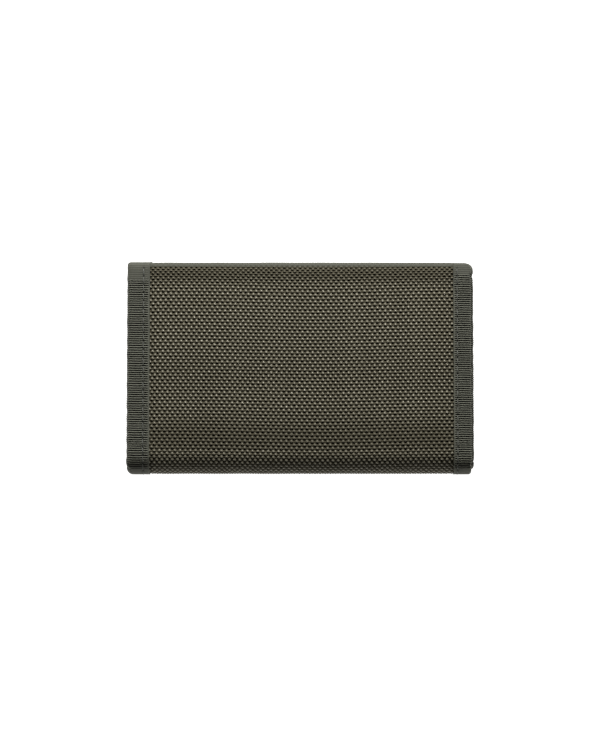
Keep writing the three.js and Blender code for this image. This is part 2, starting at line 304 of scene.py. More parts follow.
# ---- Materials ----
class Tree:
    """A material's node tree. Sockets are passed where numbers are, and are linked."""

    def __init__(self, name):
        self.material = bpy.data.materials.new(name)
        self.material.use_nodes = True
        self.nodes = self.material.node_tree.nodes
        self.links = self.material.node_tree.links
        self.nodes.clear()
        self.output = self.nodes.new("ShaderNodeOutputMaterial")

    def feed(self, socket, value):
        if isinstance(value, bpy.types.NodeSocket):
            self.links.new(value, socket)
        else:
            socket.default_value = value

    def node(self, kind, inputs=None, **settings):
        made = self.nodes.new("ShaderNode" + kind)
        for key, value in settings.items():
            setattr(made, key, value)
        for key, value in (inputs or {}).items():
            self.feed(made.inputs[key], value)
        return made

    def math(self, operation, a, b=0.0, c=0.0):
        made = self.node("Math", {0: a, 1: b, 2: c}, operation=operation)
        return made.outputs[0]

    def mix(self, share, a, b):
        made = self.node("Mix", data_type="RGBA")
        self.feed(made.inputs["Factor"], share)
        self.feed(made.inputs["A"], a)
        self.feed(made.inputs["B"], b)
        return made.outputs["Result"]

    def smooth(self, value, low, high, to_low=0.0, to_high=1.0):
        inputs = {"Value": value, "From Min": low, "From Max": high, "To Min": to_low, "To Max": to_high}
        return self.node("MapRange", inputs, interpolation_type="SMOOTHSTEP").outputs[0]

    def noise(self, vector, scale, detail=2.0, roughness=0.5):
        inputs = {"Vector": vector, "Scale": scale, "Detail": detail, "Roughness": roughness}
        return self.node("TexNoise", inputs).outputs["Fac"]

    def mark(self, name):
        return self.node("Attribute", attribute_name=name).outputs["Fac"]

    def threads(self):
        """The thread coordinates, across and along, as two numbers."""
        uv = self.node("UVMap", uv_map="Thread").outputs["UV"]
        split = self.node("SeparateXYZ", {"Vector": uv})
        return split.outputs["X"], split.outputs["Y"]

    def place(self):
        return self.node("TexCoord").outputs["Object"]

    def bump(self, height, distance, strength=1.0):
        inputs = {"Height": height, "Distance": distance, "Strength": strength}
        return self.node("Bump", inputs).outputs["Normal"]

    def finish(self, color, roughness, normal=None, **sockets):
        shader = self.node("BsdfPrincipled", {"Base Color": color, "Roughness": roughness})
        if normal is not None:
            self.feed(shader.inputs["Normal"], normal)
        for key, value in sockets.items():
            self.feed(shader.inputs[key.replace("_", " ")], value)
        self.links.new(shader.outputs[0], self.output.inputs["Surface"])
        return self.material


def rgba(red, green, blue):
    return (red, green, blue, 1.0)


def ballistic_nylon():
    """Thick shiny filling yarns over thinner warps: painted highlight on top, dull strands between, painted
    near-black shade.
    """
    tree = Tree("ballistic_nylon")
    across, along = tree.threads()
    gap = tree.mark("gap")
    filling = tree.mark("filling")
    place_in_object = tree.place()
    fibre_across = tree.math("SINE", tree.math("MULTIPLY", across, 2 * math.pi * 9))
    fibre_along = tree.math("SINE", tree.math("MULTIPLY", along, 2 * math.pi * 11))
    fibres = tree.node("Mix", {"Factor": filling}, data_type="FLOAT")
    tree.feed(fibres.inputs[2], fibre_across)
    tree.feed(fibres.inputs[3], fibre_along)
    fine = tree.noise(place_in_object, 5200.0, 3.0, 0.6)
    broad = tree.noise(place_in_object, 130.0, 3.0, 0.55)
    crown = tree.mark("crown")
    yarns = tree.mix(filling, rgba(0.039, 0.035, 0.022), rgba(0.045, 0.040, 0.025))
    # painted highlight: the tops of the filling floats are painted much paler
    yarns = tree.mix(crown, yarns, rgba(0.205, 0.191, 0.137))
    shade = tree.mix(tree.smooth(broad, 0.3, 0.7, 0.0, 0.25), yarns, rgba(0.060, 0.053, 0.033))
    shade = tree.mix(tree.smooth(fine, 0.35, 0.75, 0.0, 0.25), shade, rgba(0.105, 0.093, 0.060))
    # painted sheen: over the rounded free edge the cloth is painted a paler, neutral grey
    shade = tree.mix(tree.smooth(tree.mark("pressed"), 0.2, 0.9), shade, rgba(0.062, 0.063, 0.050))
    # painted shade: near-black colour in the hollows on the steep side of each float, where the light from
    # the free edge casts shadow
    color = tree.mix(tree.smooth(gap, 0.0, 0.45), shade, rgba(0.0012, 0.0009, 0.0003))
    gloss = tree.math("MULTIPLY", crown, tree.smooth(gap, 0.0, 0.4, 1.0, 0.0))
    rough = tree.math("SUBTRACT", tree.smooth(fine, 0.2, 0.8, 0.62, 0.74), tree.math("MULTIPLY", gloss, 0.32))
    height = tree.math("ADD", tree.math("MULTIPLY", fibres.outputs[0], 0.25), fine)
    normal = tree.bump(height, 0.00006, 0.5)
    shine = tree.math("ADD", 0.12, tree.math("MULTIPLY", gloss, 0.75))
    return tree.finish(color, rough, normal, Specular_IOR_Level=shine, Specular_Tint=rgba(1.0, 0.95, 0.84))


def grosgrain():
    """Ribbed tape: painted highlight on the rib tops, painted shade in the furrows, smooth selvedge, dark
    needle holes.
    """
    tree = Tree("grosgrain")
    across = tree.threads()[0]
    rib = tree.mark("rib")
    hole = tree.mark("hole")
    place_in_object = tree.place()
    fine = tree.noise(place_in_object, 6000.0, 3.0, 0.6)
    broad = tree.noise(place_in_object, 160.0, 3.0, 0.5)
    warp = tree.math("SINE", tree.math("MULTIPLY", across, 2 * math.pi * 4 / MM))
    base = tree.mix(tree.smooth(broad, 0.3, 0.7), rgba(0.094, 0.095, 0.069), rgba(0.115, 0.117, 0.086))
    lit = tree.mix(tree.smooth(fine, 0.3, 0.8, 0.0, 0.4), base, rgba(0.138, 0.140, 0.106))
    # painted shade: the rib furrows are painted near black, the rib tops get the lit colour as painted
    # highlight
    ribbed = tree.mix(tree.smooth(rib, 0.3, 0.72), rgba(0.0035, 0.0036, 0.0022), lit)
    color = tree.mix(hole, ribbed, rgba(0.006, 0.006, 0.004))
    height = tree.math("ADD", tree.math("MULTIPLY", warp, 0.15), fine)
    normal = tree.bump(height, 0.00005, 0.4)
    return tree.finish(color, 0.8, normal)


def plain_nylon(name, dark, light, threads_per_mm):
    """Fine plain-woven lining or pocket cloth."""
    tree = Tree(name)
    across, along = tree.threads()
    place_in_object = tree.place()
    scale = 2 * math.pi * threads_per_mm / MM / 2
    wave_across = tree.math("SINE", tree.math("MULTIPLY", across, scale))
    wave_along = tree.math("SINE", tree.math("MULTIPLY", along, scale))
    checks = tree.math("MULTIPLY", wave_across, wave_along)
    fine = tree.noise(place_in_object, 4500.0, 3.0, 0.6)
    broad = tree.noise(place_in_object, 90.0, 4.0, 0.55)
    share = tree.math("ADD", tree.math("MULTIPLY", checks, 0.32), tree.smooth(broad, 0.25, 0.75, 0.25, 0.75))
    color = tree.mix(share, rgba(*dark), rgba(*light))
    height = tree.math("ADD", tree.math("MULTIPLY", checks, 0.6), tree.math("MULTIPLY", fine, 0.5))
    normal = tree.bump(height, 0.00009, 0.6)
    rough = tree.smooth(fine, 0.2, 0.8, 0.5, 0.72)
    return tree.finish(color, rough, normal, Sheen_Weight=0.08, Sheen_Roughness=0.4)


def worn_metal(name, dull, bright):
    """Cast zinc or stamped steel with a brushed, slightly worn surface."""
    tree = Tree(name)
    place_in_object = tree.place()
    broad = tree.noise(place_in_object, 700.0, 4.0, 0.6)
    stretched = tree.node("Mapping", {"Vector": place_in_object, "Scale": (600.0, 9000.0, 9000.0)}).outputs[0]
    brushed = tree.noise(stretched, 1.0, 3.0, 0.6)
    worn = tree.smooth(tree.node("NewGeometry").outputs["Pointiness"], 0.5, 0.56)
    color = tree.mix(tree.smooth(broad, 0.3, 0.7), rgba(*dull), rgba(*bright))
    brightest = rgba(*(min(1.0, 1.5 * part) for part in bright))
    color = tree.mix(tree.math("MULTIPLY", worn, 0.6), color, brightest)
    rough = tree.smooth(brushed, 0.2, 0.8, 0.28, 0.48)
    normal = tree.bump(tree.math("ADD", brushed, broad), 0.00003, 0.5)
    return tree.finish(color, rough, normal, Metallic=1.0)


def moulded_nylon(name, dark, light, roughness):
    """Extruded nylon filament of the zip coil, hooks and loops."""
    tree = Tree(name)
    fine = tree.noise(tree.place(), 3000.0, 3.0, 0.6)
    color = tree.mix(tree.smooth(fine, 0.3, 0.7), rgba(*dark), rgba(*light))
    normal = tree.bump(fine, 0.00003, 0.4)
    rough = tree.smooth(fine, 0.2, 0.8, roughness - 0.08, roughness + 0.08)
    return tree.finish(color, rough, normal)


def sewing_thread():
    """Twisted sewing thread, with a painted highlight on top of each turn."""
    tree = Tree("sewing_thread")
    across, along = tree.threads()
    twist = tree.math("SINE", tree.math("ADD", tree.math("MULTIPLY", along, 9.0), across))
    fine = tree.noise(tree.place(), 7000.0, 2.0, 0.5)
    # painted highlight on top of each turn of the twist, painted shade between
    color = tree.mix(tree.smooth(twist, -0.6, 0.8), rgba(0.055, 0.056, 0.045), rgba(0.118, 0.120, 0.104))
    normal = tree.bump(tree.math("ADD", twist, fine), 0.00004, 0.5)
    return tree.finish(color, 0.6, normal)


SHELL = ballistic_nylon()
TAPE = grosgrain()
LINING_CLOTH = plain_nylon("lining_nylon", (0.022, 0.023, 0.017), (0.05, 0.052, 0.04), 2.6)
THREAD = sewing_thread()
POCKET_CLOTH = plain_nylon("pocket_nylon", (0.030, 0.031, 0.024), (0.060, 0.062, 0.049), 2.0)
ZIP_CLOTH = plain_nylon("zip_tape_nylon", (0.018, 0.019, 0.015), (0.040, 0.041, 0.033), 6.0)
STRIP_CLOTH = plain_nylon("strip_nylon", (0.016, 0.017, 0.013), (0.034, 0.035, 0.028), 6.0)
FILAMENT = moulded_nylon("strip_filament", (0.020, 0.021, 0.017), (0.050, 0.052, 0.043), 0.5)
COIL = moulded_nylon("zip_coil_nylon", (0.018, 0.019, 0.015), (0.040, 0.042, 0.034), 0.35)
METAL = worn_metal("gunmetal", (0.075, 0.075, 0.072), (0.15, 0.148, 0.142))


# ---- Outer cloth ----
HEM_GAP = 0.1 * MM  # how far the hem stays outside the wallet's inner face
HEM_RETURN = 5.5 * MM  # how far the hem comes back from the free edge
CLOTH_SHORT = 0.07 * MM  # how far the cloth stops short of the built free edge
CLOTH_UNDER_TAPE = 3.4 * MM
CLOTH_SINK = 1.75 * MM  # how far the plain inner face lies under the strip's outer line
DEEPEST_LIFT = 1.6 * MM  # the woven face stays above the inner one
SLACK_DEPTH = 0.85 * MM
SLACK_LENGTH = 17 * MM
TIGHT_MIDDLE = 2 * MM  # half the stretch at mid spine that is not slack
SWELL_RISE = 0.55 * MM
WANDER = 0.06 * MM
HEM_RISE = 0.3 * MM
HEM_DROP = 0.15 * MM


def cover_line(side, hem_depth):
    """(run, depth) along a cover: from mid spine, round the free edge and back along the inside."""
    reach = REACH[side] - CLOTH_SHORT
    flat = np.linspace(0, reach - EDGE_ROUND, 400)
    turn = np.linspace(-math.pi / 2, math.pi / 2, 81)[1:]
    half = hem_depth / 2
    back = np.linspace(reach - EDGE_ROUND, reach - HEM_RETURN, 20)[1:]
    run = np.concatenate([flat, reach - EDGE_ROUND + EDGE_ROUND * np.cos(turn), back])
    depth = np.concatenate([0 * flat, half + half * np.sin(turn), hem_depth + 0 * back])
    return side * run, depth


def resample(run, depth, lengths):
    """Points, and normals that face away from the cloth's inside, at given lengths along a line."""
    at = np.concatenate([[0], np.cumsum(np.hypot(np.diff(run), np.diff(depth)))])
    small = 0.05 * MM

    def moved(shift):
        return np.stack([np.interp(lengths + shift, at, run), np.interp(lengths + shift, at, depth)])

    along = moved(small) - moved(-small)
    along /= np.linalg.norm(along, axis=0)
    sign = np.sign(run[-1])
    return *moved(0.0), sign * along[1], -sign * along[0]


def yarn(reach):
    """Height of a round yarn: 1 on top, 0 at its sides (where reach is 1 or -1), then falling away."""
    reach = np.abs(reach)
    return np.sqrt(np.clip(1 - reach**2, 0, 1)) - YARN_FALL * np.clip(reach - 1, 0, 1)


def weave_height(across, along):
    """Height of a plain weave in metres, then its filling yarns, its painted shade and its painted highlight.

    across and along count yarns. Each float of the thick filling yarns runs a little askew. Its side towards
    lower numbers is steep, with a hollow under it, where the painted shade goes.
    """
    parity = np.mod(np.round(along), 2)
    float_middle = 2 * np.round((across + parity - 1) / 2) + 1 - parity
    skewed = along + FLOAT_SKEW * np.clip(across - float_middle, -SKEW_REACH, SKEW_REACH)
    filling_number = np.round(skewed)
    offset = filling_number - skewed
    wave = -np.cos(math.pi * (across + filling_number))
    filling_lift = np.sign(wave) * np.abs(wave) ** FLOAT_FLATNESS
    round_side = yarn(np.where(offset > 0, offset / STEEP_SIDE, offset / GENTLE_SIDE))
    filling = FILLING_LIFT * filling_lift + FILLING_THICK * round_side
    warp_number = np.round(across)
    warp_lift = np.cos(math.pi * (along + WARP_SHIFT + warp_number))
    warp = WARP_LIFT * warp_lift + WARP_THICK * yarn((across - warp_number) / WARP_SIDE)
    height = np.maximum(np.maximum(warp, filling), WEAVE_FLOOR)
    # painted shade mask: the low parts on the steep side of each float
    gap = np.clip((GAP_SHADE_TOP - height) / GAP_SHADE_TOP, 0, 1) * np.clip(offset * GAP_SHADE_SHARPNESS, 0, 1)
    # painted highlight mask: the tops of the filling floats, where the light catches them
    crown = ease(height, HIGHLIGHT_START * WEAVE_CREST, HIGHLIGHT_FULL * WEAVE_CREST) * (filling > warp)
    return height, (filling > warp).astype(float), gap, crown


def slack(run):
    """How far the cloth sinks: most where a cover meets the spine, and not at all at mid spine."""
    arc = np.where(run >= 0, ARC[1], ARC[-1])
    on_cover = np.clip(1 - (np.abs(run) - arc) / SLACK_LENGTH, 0, 1) ** 2
    on_spine = np.clip((np.abs(run) - TIGHT_MIDDLE) / (arc - TIGHT_MIDDLE), 0, 1)
    return SLACK_DEPTH * np.where(np.abs(run) > arc, on_cover, on_spine)


def swell(x, run):
    """Height of the cloth's middle level over the strip's outer line.

    It lies below that line by the weave's own height. It is held down beside the tapes, less so at the
    free edge and at mid spine. It is higher over the hem, slack near the fold, and uneven.
    """
    from_tape = np.clip(TAPE_EDGE + np.where(x > 0, NARROWER[1], NARROWER[-1]) - np.abs(x), 0, None)
    reach = np.where(run >= 0, REACH[1], REACH[-1])
    at_edge = ease(np.abs(run), reach - 3.5 * MM, reach - 0.5 * MM)
    outline = np.maximum(at_edge, 1 - ease(np.abs(run), 0, 5 * MM))
    rise = SWELL_RISE * (1 - (1 - 0.8 * outline) * np.exp(-from_tape / (1.3 * MM)))
    wander = waves(x, 11, WANDER, 18 * MM, 60 * MM) * np.cos(run / (14 * MM))
    wander += waves(run, 12, WANDER, 15 * MM, 50 * MM) * np.cos(x / (21 * MM))
    hem = HEM_RISE * (1 - ease(reach - np.abs(run), 2.5 * MM, 8 * MM)) - HEM_DROP
    loose = slack(run) * (1 - np.exp(-from_tape / (2.5 * MM)))
    return rise + wander * np.clip(from_tape / (4 * MM), 0, 1) + hem - loose - WEAVE_CREST - 0.5 * MM


def cover_cloth(side, steps):
    """One half of the outer cloth: a cover, its hem and its half of the spine."""
    run, depth = cover_line(side, STACK - HEM_GAP)
    total = np.hypot(np.diff(run), np.diff(depth)).sum()
    row_step = WEFT_PITCH / steps
    rows = int(total / row_step) // steps * steps + 1
    lengths = np.arange(rows) * row_step
    run_at, depth_at, out_run, out_depth = (v[:, None] for v in resample(run, depth, lengths))
    lengths = lengths[:, None]
    half = int((TAPE_EDGE + CLOTH_UNDER_TAPE) / WARP_PITCH) * WARP_STEPS
    x = np.arange(-half, half + 1)[None, :] * WARP_PITCH / WARP_STEPS
    bow = 0.35 * np.cos(x / (38 * MM)) + 0.12 * np.sin(x / (13 * MM) + 1.0)
    across = x / WARP_PITCH + 0.15 * np.sin(side * lengths / (17 * MM) + 0.6)
    from_edge = np.clip(REACH[side] - lengths, 0, None)
    crowded = np.clip(1 - from_edge / CROWDED_LENGTH, 0, 1)
    along = side * (lengths + 0.35 * CROWDED_LENGTH * crowded**2) / WEFT_PITCH + bow
    height, filling, gap, crown = weave_height(across, along)

    # The weave is flattened over the free edge. Its painted highlights are dimmer over the free edge, within
    # 10 mm of it, and just past the spine.
    calm = 1 - 0.88 * ease(-from_edge, -2.4 * MM, -1.2 * MM)
    # dimmer painted highlight in a band just past the spine
    dull = 0.45 * np.exp(-(((lengths - ARC[side] - 5 * MM) / (6 * MM)) ** 2))
    crown = crown * calm * (0.35 + 0.65 * ease(from_edge, 3 * MM, 10 * MM)) * (1 - dull)
    lift = height * calm + swell(x, run_at) + (1 - calm) * 0.9 * WEAVE_CREST
    lift = np.maximum(lift, -DEEPEST_LIFT)
    outer = place(x, run_at + out_run * lift, depth_at + out_depth * lift)
    picked = (slice(None, None, steps), slice(None, None, WARP_STEPS))
    inner = place(x, run_at - out_run * CLOTH_SINK, depth_at - out_depth * CLOTH_SINK)[picked]

    def both(values):
        values = np.broadcast_to(values, outer.shape[:2])
        return np.concatenate([values.ravel(), values[picked].ravel()])

    marks = {
        "gap": outer_face(gap * calm, 0.0, inner[..., 0].size),
        "filling": both(filling),
        "crown": both(crown),
        "pressed": both(1 - calm),
    }
    uv = np.stack([both(across), both(along)], axis=-1)
    cloth = shell_object(f"{BODY[side]}_cover_cloth", outer, inner, uv=uv, marks=marks)
    bend(cloth, side, 0.0)
    dress(cloth, SHELL, "shell_cloth", *built_nodes(side, "shell"))


# ---- Binding tapes ----
RIB_STEPS = 5
RIB_LIFT = 0.22 * MM
SQUARING = 0.6 * MM  # how far the tapes stand out beyond the round of the spine

# Each edge's tapes: rib pitch, how far they pass the free edge, the radii of their corners there and at the
# spine, the smooth stretch at the free edge, and where a pull on the stitching pinches them.
TAPE_ENDS = {
    -1: {
        "rib": 0.842 * MM,
        "proud": 0.25 * MM,
        "corner": 1.2 * MM,
        "spine_corner": 1.3 * MM,
        "spine_stretch": 1.8,
        "smooth": 6.4 * MM,
        "pinch": None,
        "spine_pinch": 2.6 * MM,
    },
    1: {
        "rib": 0.820 * MM,
        "proud": -0.2 * MM,
        "corner": 2.4 * MM,
        "spine_corner": 0.9 * MM,
        "spine_stretch": 1.0,
        "smooth": 4.2 * MM,
        "pinch": 4.9 * MM,
        "spine_pinch": 3.9 * MM,
    },
}


def notch(position, at, width, depth):
    """A smooth dent of a width and depth at one place along a line."""
    return depth * np.exp(-(((position - at) / width) ** 2))


def corner_cut(distance, radius, stretch=1.0):
    """How far a rounded corner draws the edge in, at a distance from the end. stretch widens it."""
    inside = np.clip(radius - distance, 0, radius)
    return stretch * (radius - np.sqrt(np.clip(radius**2 - inside**2, 0, None)))


def squared(run):
    """How far a tape and its stitches stand out from the round spine, most half way round the fold."""
    return SQUARING * np.sin(2 * np.clip(run / RADIUS, 0, math.pi / 2)) ** 2


def stitch_marks(run, girth, total, inset):
    """How far the stitching draws a tape in, and how dark its needle holes are. Both legs are sewn."""
    from_line = np.minimum(np.abs(girth - inset), np.abs(total - girth - STITCH_INSET))
    phase = run / STITCH_PITCH
    from_hole = np.abs(phase - np.round(phase)) * STITCH_PITCH
    furrow = 0.10 * MM * np.exp(-((from_line / (0.38 * MM)) ** 2))
    pit = np.exp(-((from_line / (0.26 * MM)) ** 2 + (from_hole / (0.42 * MM)) ** 2))
    return furrow + 0.16 * MM * pit, np.clip(pit * 1.1, 0, 1)


def tape_edge(side, ends, run, near_end, from_spine, seed, stand_out):
    """How far a tape's outermost line wanders from the built one, with its corners and its pinches."""
    edge = waves(run * side, seed, 0.10 * MM, 4 * MM, 16 * MM) + stand_out
    edge -= corner_cut(near_end, ends["corner"])
    edge -= corner_cut(from_spine + 0.25 * MM, ends["spine_corner"], ends["spine_stretch"])
    if ends["pinch"]:
        edge -= notch(near_end, ends["pinch"], 0.8 * MM, 0.35 * MM)
    return edge - notch(from_spine, ends["spine_pinch"], 0.42 * MM, 0.42 * MM)


def binding(name, hand, side, depths, nodes, stand_out=0.0, narrow=(0.0, 0.0), inset=STITCH_INSET):
    """A ribbed tape folded round one edge of one half of the strip. hand is -1 at the left, 1 at the right.

    narrow is how much its outer and its inner leg fall short of the built tape. inset is the distance from
    its outer leg's selvedge to the stitching.
    """
    ends = TAPE_ENDS[hand]
    reach = REACH[side] + ends["proud"]
    run = np.linspace(0, reach, int(reach / ends["rib"]) * RIB_STEPS + 1)[:, None]
    near_end = reach - run
    from_spine = RADIUS * (1 - np.cos(np.clip(run / RADIUS, 0, math.pi / 2)))
    seed = 40 + 10 * hand + side + int(depths[0] / MM * 10)

    # The section goes out along the outer leg, round the edge and back along the inner leg.
    radius = (depths[1] - depths[0]) / 2
    middle = (depths[1] + depths[0]) / 2
    flat_reach = HALF_WIDTH - radius - TAPE_EDGE
    leg = np.linspace(0, flat_reach, 34)
    turn = np.linspace(-math.pi / 2, math.pi / 2, 15)[1:-1]
    across_x = np.concatenate([leg, flat_reach + radius * np.cos(turn), leg[::-1]])
    across_depth = np.concatenate([-1 + 0 * leg, np.sin(turn), 1 + 0 * leg])
    normal_x = np.concatenate([0 * leg, np.cos(turn), 0 * leg])
    girth = np.concatenate([[0], np.cumsum(np.hypot(np.diff(across_x), radius * np.diff(across_depth)))])
    total = girth[-1]
    share = across_x / (flat_reach + radius)

    from_end = np.clip(EDGE_ROUND - near_end, 0, EDGE_ROUND) / EDGE_ROUND
    closing = np.clip(1 - from_end**3, 0, 1) ** (1 / 3)
    edge = tape_edge(side, ends, run, near_end, from_spine, seed, stand_out)
    inner_edge = waves(run * side, seed + 3, 0.06 * MM, 8 * MM, 30 * MM)
    shortfall = (narrow[0] * (1 - across_depth) + narrow[1] * (1 + across_depth)) / 2

    stitch_drop, holes = stitch_marks(side * run, girth, total, inset)
    drift = waves(girth, seed + 5, 0.10, 2 * MM, 8 * MM) + waves(run, seed + 6, 0.16, 6 * MM, 22 * MM)
    ribs = np.cos(2 * math.pi * (run / ends["rib"] + drift))
    from_selvedge = np.minimum(girth, total - girth)
    ribbed = np.clip((from_selvedge - 0.45 * MM) / (0.5 * MM), 0, 1)
    ribbed = ribbed * np.clip((near_end - ends["smooth"]) / (1.2 * MM), 0.12, 1)
    ribbed = ribbed * np.clip((from_spine - 2.6 * MM) / (0.6 * MM), 0.25, 1)
    ribbed = ribbed * (1 - 0.5 * normal_x**2)
    lift = RIB_LIFT * ribs * ribbed - stitch_drop
    lift += 0.05 * MM * np.cos(math.pi * np.clip(from_selvedge / (0.9 * MM), 0, 1))

    def surface(offset, tuck):
        at_x = TAPE_EDGE + across_x + share * edge
        at_x = at_x + (1 - share) * (inner_edge + shortfall)
        at_x = at_x + normal_x * offset
        at_depth = middle + (across_depth * radius + across_depth * offset) * closing
        at_run = run - tuck * run / reach
        return place(hand * at_x, side * at_run, at_depth - squared(run))

    smooth_shade = np.where(near_end < 10 * MM, 0.52, 0.57)
    # painted shading of the ribs: 1 on the lit rib tops, 0 in the shaded furrows
    rib_shading = np.clip(0.5 + 0.5 * ribs, 0, 1) * ribbed + (1 - ribbed) * smooth_shade
    marks = {"rib": outer_face(rib_shading, PLAIN_RIB), "hole": outer_face(holes, 0.0)}
    tape = shell_object(
        name, surface(lift, 0.0), surface(-TAPE_THICK, TAPE_THICK), sides=("top", "left", "right"),
        uv=two_faces(girth, run), marks=marks,
    )
    weld(tape)
    bend(tape, side, middle)
    dress(tape, TAPE, "binding_tape", *nodes)


# ---- Stitching ----
STITCH_ARCH = 0.20 * MM
STITCH_SUNK = 0.10 * MM
STITCH_SLANT = 0.16 * MM
FOLD_SEAT = 0.16 * MM  # how much nearer the tape the threads lie at mid spine
HOLE_SHARE = 0.07  # the part of the pitch from a hole's middle to the thread's end
LAST_STITCH = 1.5 * MM  # how far a row along a cover stops from its free edge
ROW_SHARE = 0.74  # how much of a tape's narrowing the outer rows follow
TWIST = 6


def stitches(name, side, start, stop, depth, facing, slot):
    """A sewn row from one (x, run) to another, of short threads that dive into a hole at each end."""
    start, stop = np.array(start), np.array(stop)
    length = float(np.hypot(*(stop - start)))
    forward = (stop - start) / length
    sideways = np.array([-forward[1], forward[0]])
    count = int(length / STITCH_PITCH)
    ring, along = 7, 9
    turn = np.linspace(0, 2 * math.pi, ring, endpoint=False)
    share = np.linspace(0, 1, along)[:, None]
    arch = np.sin(math.pi * share) ** 0.5
    radius = THREAD_RADIUS * (0.35 + 0.65 * arch)
    height = STITCH_ARCH * arch - STITCH_SUNK + radius * np.sin(turn)
    aside = STITCH_SLANT * (share - 0.5) + radius * np.cos(turn)
    one = tube_faces(ring, along)
    points, faces = [], []
    for number in range(count):
        at = STITCH_PITCH * (number + HOLE_SHARE + (1 - 2 * HOLE_SHARE) * share) + 0 * aside
        x = start[0] + forward[0] * at + sideways[0] * aside
        run = start[1] + forward[1] * at + sideways[1] * aside
        level = depth(x, run) if callable(depth) else depth
        faces += [tuple(v + number * ring * along for v in face) for face in one]
        points.append(place(x, side * run, level + facing * height).reshape(-1, 3))
    points = np.concatenate(points)
    uv = np.stack(np.broadcast_arrays(turn, share * TWIST), axis=-1).reshape(-1, 2)
    row = new_object(name, points, outward(points, faces), np.tile(uv, (count, 1)))
    dress(row, THREAD, slot)
    return row


def seam(name, side, half_length, line, depth, slot):
    """A sewn row across the inside of a cover."""
    row = stitches(name, side, (-half_length, line), (half_length, line), depth, 1, slot)
    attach(row, BODY[side])


def tape_stitches(side):
    """The four rows along one half of the strip, on both faces of the left and right tapes."""
    for hand, label in ((-1, "left"), (1, "right")):
        outer_place = OUTER_STITCH_INSET[hand] + ROW_SHARE * NARROWER[hand]
        faces = (("outer", 0.0, -1, outer_place), ("inner", STACK, 1, STITCH_INSET))
        for face, depth, facing, inset in faces:

            def level(x, run):
                return depth - squared(run) - facing * FOLD_SEAT * np.exp(-((run / (3 * MM)) ** 2))

            x = hand * (TAPE_EDGE + inset)
            name = f"{BODY[side]}_stitches_{label}_{face}"
            end = (x, REACH[side] - LAST_STITCH)
            row = stitches(name, side, (x, 0.0), end, level, facing, "binding_tape")
            bend(row, side, depth)


# ---- Lining ----
LINING_THICK = 0.3 * MM
LINING_UNDER_TAPE = 2 * MM
LINING_SHORT = 1.5 * MM


def lining(side):
    """One half of the lining, a little slack over the spine."""
    reach = REACH[side] - LINING_SHORT
    half = TAPE_EDGE + LINING_UNDER_TAPE
    run = np.linspace(0, reach, 170)[:, None]
    x = np.linspace(-half, half, 150)[None, :]
    ripple = waves(x, 21, 0.17 * MM, 9 * MM, 40 * MM) * np.exp(-((run - 9 * MM) / (14 * MM)) ** 2)
    ripple = ripple + waves(run, 22, 0.05 * MM, 14 * MM, 50 * MM) * np.cos(x / (19 * MM))
    depth = LINING_BACK + ripple * np.clip((TAPE_EDGE - np.abs(x)) / (8 * MM), 0, 1)
    inside = place(x, side * run, depth)
    outside = place(x, side * run, depth - LINING_THICK)
    cloth = shell_object(f"{BODY[side]}_cover_lining", inside, outside, uv=two_faces(x, side * run))
    bend(cloth, side, LINING_BACK)
    dress(cloth, LINING_CLOTH, "lining_cloth", *built_nodes(side, "lining"))


# ---- What is sewn to the lining ----
# Places along a cover are given as distances from its free edge.
POCKETS = {"rear": (26 * MM, 3.75 * MM), "middle": (36 * MM, 4.55 * MM), "front": (46 * MM, 5.35 * MM)}
POCKET_FOOT = 69.5 * MM
POCKET_THICK = 0.25 * MM
FOOT_SEAM = 1.2 * MM
EDGING_WIDTH = 5 * MM
EDGING_RADIUS = 0.33 * MM
EDGING_THICK = 0.2 * MM
PANEL_UNDER_TAPE = 0.8 * MM
LINING_LEVEL = 3.2 * MM
STRIP_HALF_LENGTH = 35 * MM
STRIP_SPAN = (5.5 * MM, 16.3 * MM)
STRIP_BASE = 3.55 * MM
STRIP_TOP = 4.45 * MM
STRIP_THICK = 0.12 * MM
STRIP_MARGIN = 1.3 * MM  # the bare selvedge of a closure strip
STRIP_SEAM_OUT = 0.6 * MM  # how far a strip's seams lie outside its hooks or loops
STRIP_SEAM_HALF = 33.8 * MM
HOOK_RADIUS = 0.1 * MM
HOOK_ROW_HALF = 33.4  # this one and the step are in millimetres
HOOK_STEP = 0.95
HOOK_ROW_PITCH = 0.85 * MM
HOOK_ROW_SHIFT = 0.45 * MM
HOOK_LEAN = 0.42 * MM
LOOP_RADIUS = 0.06 * MM
LOOP_COUNT = 2600
ZIP_LINE = 23 * MM
ZIP_HALF_LENGTH = 50 * MM
ZIP_LEVEL = 4.7 * MM
ZIP_THICK = 0.25 * MM
COIN_DEPTH = 5.4 * MM
COIN_THICK = 0.3 * MM
COIN_MOUTH = 27 * MM
COIN_UNDER = 3.15 * MM  # depth of the coin pocket's cloths where the side tapes hold them
FACING = (16.6 * MM, 19 * MM)
COIL_PITCH = 1.15 * MM
COIL_RADIUS = 0.16 * MM
COIL_SEAM = 2.45 * MM  # from the zip's middle to the stitching beside each coil


def tucked(x, depth, under=3.1 * MM):
    """Depth of a cloth that is caught under the binding tape at both sides."""
    return depth + (under - depth) * ease(np.abs(x), TAPE_EDGE - 4.5 * MM, TAPE_EDGE + 0.3 * MM)


def panel(name, side, x, run, depth, thick, material, slot, node):
    """A thin cloth sewn to the inside of a cover, from its grid of inward-facing points."""
    depth = np.broadcast_to(depth, (run.size, x.size))
    upper = place(x, side * run, depth)
    lower = place(x, side * run, depth - thick)
    cloth = shell_object(name, upper, lower, uv=two_faces(x, run))
    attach(cloth, BODY[side])
    dress(cloth, material, slot, node)


def stretched(node, side, x, run, depth, thick, material, slot, below):
    """A panel that stands for one built piece."""
    panel(f"{node}_cloth", side, x, run, depth, thick, material, slot, node)


